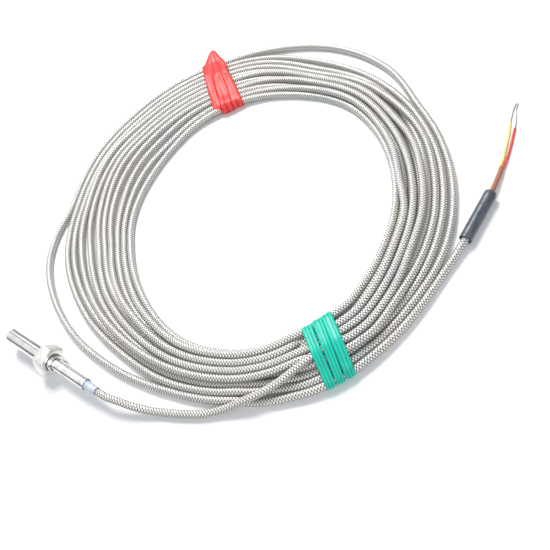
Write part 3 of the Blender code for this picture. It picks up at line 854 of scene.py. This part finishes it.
def add_ties(layout):
    """Three straps of each colour round the hank, and the red one's gathered end."""
    # Each tie's three colours: painted shade for the rib grooves, its own colour, painted highlight for
    # the rib crests
    red = tie_material("red_tie", ((0.45, 0.010, 0.010), (0.80, 0.040, 0.036), (0.90, 0.070, 0.060)),
                       2.0, 0.00010)
    green = tie_material("green_tie", ((0.003, 0.26, 0.18), (0.006, 0.52, 0.38), (0.010, 0.63, 0.47)),
                         3.0, 0.00016)
    for colour, straps, finish, folds in (("red", RED_STRAPS, red, red_folds),
                                          ("green", GREEN_STRAPS, green, green_folds)):
        for number, strap in enumerate(straps, start=1):
            mesh = strap_mesh(colour + "_strap_" + str(number), layout, strap, folds, number)
            piece = add_piece(mesh.name, mesh, finish)
            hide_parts(colour + "_wrap_" + str(number))
    add_peak(red)


def add_shrunk_sleeve():
    """Open sleeve, slightly uneven, shrunk onto the jacket at its far end."""
    shape = bmesh.new()
    outside = [(0.0, SLEEVE_BORE + 0.12), (0.06, SLEEVE_RADIUS - 0.06), (0.25, SLEEVE_RADIUS)]
    for step in range(1, SLEEVE_STATIONS):
        outside.append((0.25 + (SLEEVE_LENGTH - 0.5) * step / SLEEVE_STATIONS, SLEEVE_RADIUS))
    outside += [(SLEEVE_LENGTH - 0.25, SLEEVE_RADIUS), (SLEEVE_LENGTH, SLEEVE_RADIUS - 0.25)]
    inside = [(SLEEVE_LENGTH, 1.5), (SLEEVE_LENGTH - 1.0, 1.4), (SLEEVE_LENGTH - 2.5, SLEEVE_BORE - 0.2),
              (8.0, SLEEVE_BORE), (0.1, SLEEVE_BORE)]
    start = Vector(SLEEVE_START)
    rings = []
    for place, radius in outside + inside:
        ring = []
        for step in range(SLEEVE_SIDES):
            turn = math.tau * step / SLEEVE_SIDES
            reach = radius
            if radius > SLEEVE_BORE + 0.2 and place > 0.2:
                swell = 0.10 * math.exp(-((place - SLEEVE_SWELL) / 1.3) ** 2) * (1 + math.cos(turn - 0.3))
                reach += swell + 0.035 * math.sin(place * 1.1 + 2 * math.sin(turn)) - 0.05
                reach += 0.03 * math.sin(place * 2.7 + 3 * turn)
            ring.append(shape.verts.new((start + Vector((reach * math.cos(turn), place,
                                                         reach * math.sin(turn)))) * MM))
        rings.append(ring)
    for ring, following in zip(rings, rings[1:] + rings[:1]):
        for step in range(SLEEVE_SIDES):
            after = (step + 1) % SLEEVE_SIDES
            shape.faces.new((ring[step], ring[after], following[after], following[step]))
    bmesh.ops.recalc_face_normals(shape, faces=shape.faces)
    mesh = finished_mesh("shrunk_sleeve", shape, 55)
    finish = cloudy_material("dark_shrink", (0.045, 0.053, 0.068), (0.098, 0.112, 0.138), 520.0,
                             (0.27, 0.42), 0.00006, (1.0, 0.35, 1.0))
    sleeve = add_piece("shrunk_sleeve", mesh, finish)
    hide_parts("end_sleeve")
    return sleeve


def add_jacket():
    """Brown inner jacket, from inside the sleeve to where the two wires part."""
    points, length = even_route([Vector(point) * MM for point in JACKET_ROUTE], JACKET_RING_STEP)
    radii = [JACKET_DIAMETER / 2] * len(points)
    mesh = tube_mesh("jacket", points, radii, JACKET_SIDES, length)
    # The darker brown is painted shade between the yarns
    finish = woven_material("brown_jacket", (0.17, 0.045, 0.022), (0.47, 0.19, 0.11), 0.0011)
    jacket = add_piece("jacket", mesh, finish)
    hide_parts("inner_jacket")


def add_wire(colour, covered, bare, cover, metal):
    """Insulated wire whose insulation ends where its bare stretch begins."""
    knots = [Vector(point) * MM for point in covered + bare]
    points, length = even_route(knots, WIRE_RING_STEP)
    edge = Vector(covered[-1]) * MM
    nearest = min(range(len(points)), key=lambda number: (points[number] - edge).length)
    radii = []
    for number in range(len(points)):
        taper = ease((number - nearest + 1) / 2)
        radii.append((INSULATION_DIAMETER + (CONDUCTOR_DIAMETER - INSULATION_DIAMETER) * taper) / 2)
    bare_from = nearest / (len(points) - 1)
    mesh = tube_mesh(colour + "_core", points, radii, WIRE_SIDES, length, bare_from)
    wire = add_piece(colour + "_core", mesh, cover, metal)
    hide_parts(colour + "_wire", colour + "_conductor")


def add_wires():
    """Both wires; gives back the bare metal, which the probe's inner wires share."""
    metal = turned_steel("conductor_bare", (0.36, 0.355, 0.34), 0.34, 0.55, (900, 60, 900), 0.00003)
    # The darker colour of each insulation is painted shade between the yarns
    yellow = woven_material("yellow_insulation", (0.74, 0.58, 0.06), (0.98, 0.91, 0.36), 0.0008)
    red = woven_material("red_insulation", (0.42, 0.015, 0.012), (0.82, 0.055, 0.045), 0.0008)
    add_wire("yellow", YELLOW_ROUTE, YELLOW_BARE_ROUTE, yellow, metal)
    add_wire("red", RED_ROUTE, RED_BARE_ROUTE, red, metal)
    return metal


def cad_node(name):
    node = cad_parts[name]
    return bpy.data.objects[node] if isinstance(node, str) else node


def add_nut(finish):
    """The CAD nut's own shape with its edges eased."""
    shape = bmesh.new()
    shape.from_mesh(cad_node("hex_nut").data)
    bmesh.ops.remove_doubles(shape, verts=shape.verts, dist=1e-6)
    bmesh.ops.dissolve_limit(shape, angle_limit=math.radians(2), verts=shape.verts, edges=shape.edges)
    sharp = [edge for edge in shape.edges if len(edge.link_faces) == 2
             and edge.calc_face_angle(0) > math.radians(25)]
    bmesh.ops.bevel(shape, geom=sharp, offset=0.00018, segments=2, profile=0.5, affect='EDGES',
                    clamp_overlap=True)
    nut = add_piece("eased_nut", finished_mesh("eased_nut", shape, 30), finish)
    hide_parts("hex_nut")


def finish_cad_nodes(metal):
    """Finishes of the probe's own solids, and the eased nut."""
    steel = turned_steel("bright_steel", (0.84, 0.83, 0.82), 0.09, 0.20, (90, 2600, 2600), 0.00002)
    tube = turned_steel("tube_steel", (0.96, 0.96, 0.96), 0.16, 0.26, (120, 2200, 2200), 0.00001)
    ceramic = cloudy_material("ceramic", (0.78, 0.76, 0.70), (0.88, 0.86, 0.81), 900.0,
                              (0.6, 0.8), 0.00005)
    cement = cloudy_material("cement", (0.60, 0.58, 0.52), (0.76, 0.74, 0.68), 1400.0,
                             (0.8, 0.95), 0.00012)
    nut = turned_steel("nut_steel", (0.84, 0.84, 0.81), 0.26, 0.42, (1500, 300, 300), 0.00003)
    finishes = {"shank": steel, "crimp_tube": tube, "outlet_sleeve": sleeve_material(),
                "insulator": ceramic, "seal_plug": cement, "hot_bead": metal,
                "core_wire_a": metal, "core_wire_b": metal}
    for name, finish in finishes.items():
        for slot in cad_node(name).material_slots:
            slot.material = finish
    add_nut(nut)


def add_camera():
    data = bpy.data.cameras.new("view")
    data.sensor_width = SENSOR_WIDTH
    data.lens = SENSOR_WIDTH * FOCAL_PIXELS / IMAGE_WIDTH
    data.clip_start = 0.01
    camera = bpy.data.objects.new("view", data)
    right = CAMERA_FORWARD.cross(CAMERA_UP)
    turn = Matrix((right, CAMERA_UP, -CAMERA_FORWARD)).transposed()
    camera.matrix_world = Matrix.Translation(CAMERA_PLACE) @ turn.to_4x4()
    bpy.context.scene.collection.objects.link(camera)
    bpy.context.scene.camera = camera


def table_material():
    """White table top that thins out into the white of the room far from the piece."""
    made = plain_material("table_white", (0.92, 0.92, 0.92), 0.6)
    tree = made.node_tree
    away = tree.nodes.new("ShaderNodeVectorMath")
    away.operation = 'LENGTH'
    tree.links.new(placed(tree), away.inputs[0])
    share = steps(tree, away.outputs["Value"], ((0.42, (0.0, 0.0, 0.0)), (0.75, (1.0, 1.0, 1.0))))
    clear = tree.nodes.new("ShaderNodeBsdfTransparent")
    mixed = tree.nodes.new("ShaderNodeMixShader")
    tree.links.new(share, mixed.inputs[0])
    tree.links.new(tree.nodes["Principled BSDF"].outputs[0], mixed.inputs[1])
    tree.links.new(clear.outputs[0], mixed.inputs[2])
    tree.links.new(mixed.outputs[0], tree.nodes["Material Output"].inputs["Surface"])
    return made


def add_stage():
    """The white table."""
    mesh = bpy.data.meshes.new("table")
    half = TABLE_HALF
    mesh.from_pydata([(-half, -half, 0), (half, -half, 0), (half, half, 0), (-half, half, 0)], [],
                     [(0, 1, 2, 3)])
    mesh.materials.append(table_material())
    table = bpy.data.objects.new("table", mesh)
    bpy.context.scene.collection.objects.link(table)


def add_lights():
    """Banded studio for reflections, a soft bluish fill, a key lamp and a weaker front lamp.

    The key lamp stands at the picture's upper left and the front lamp on the camera's side.
    """
    world = bpy.data.worlds.new("studio")
    world.use_nodes = True
    tree = world.node_tree
    fill = tree.nodes["Background"]
    fill.inputs["Color"].default_value = (*FILL_COLOUR, 1.0)
    fill.inputs["Strength"].default_value = FILL_STRENGTH
    source = tree.nodes.new("ShaderNodeTexCoord")
    parts = tree.nodes.new("ShaderNodeSeparateXYZ")
    tree.links.new(source.outputs["Generated"], parts.inputs["Vector"])
    side = calc(tree, 'MULTIPLY_ADD', parts.outputs["Y"], 0.5, 0.5)
    grey = steps(tree, side,
                 ((0.16, (0.17, 0.17, 0.18)), (0.23, (1.0, 1.0, 1.0)), (0.545, (1.0, 1.0, 1.0)),
                  (0.58, (0.30, 0.30, 0.31)), (0.63, (0.32, 0.32, 0.33)), (0.67, (1.0, 1.0, 1.0)),
                  (0.74, (1.0, 1.0, 1.0)), (0.79, (0.36, 0.36, 0.37))))
    studio = tree.nodes.new("ShaderNodeBackground")
    tree.links.new(grey, studio.inputs["Color"])
    white = tree.nodes.new("ShaderNodeBackground")
    white.inputs["Color"].default_value = (1, 1, 1, 1)
    ray = tree.nodes.new("ShaderNodeLightPath")
    glossy = tree.nodes.new("ShaderNodeMixShader")
    seen = tree.nodes.new("ShaderNodeMixShader")
    tree.links.new(ray.outputs["Is Glossy Ray"], glossy.inputs[0])
    tree.links.new(fill.outputs[0], glossy.inputs[1])
    tree.links.new(studio.outputs[0], glossy.inputs[2])
    tree.links.new(ray.outputs["Is Camera Ray"], seen.inputs[0])
    tree.links.new(glossy.outputs[0], seen.inputs[1])
    tree.links.new(white.outputs[0], seen.inputs[2])
    tree.links.new(seen.outputs[0], tree.nodes["World Output"].inputs["Surface"])
    bpy.context.scene.world = world
    for name, place, size, power in (("key", KEY_PLACE, KEY_SIZE, KEY_POWER),
                                     ("front", FRONT_PLACE, FRONT_SIZE, FRONT_POWER)):
        data = bpy.data.lights.new(name, 'AREA')
        data.size = size
        data.energy = power
        data.color = LAMP_COLOUR
        lamp = bpy.data.objects.new(name, data)
        lamp.location = place
        aim = Vector((HANK_CENTRE[0] * MM, HANK_CENTRE[1] * MM, 0)) - Vector(place)
        lamp.rotation_euler = aim.to_track_quat('-Z', 'Y').to_euler()
        bpy.context.scene.collection.objects.link(lamp)


bpy.context.scene.view_settings.view_transform = 'Standard'
add_camera()
add_stage()
add_lights()
layout = settle()
add_lead(layout, add_shrunk_sleeve())
add_ties(layout)
add_jacket()
finish_cad_nodes(add_wires())
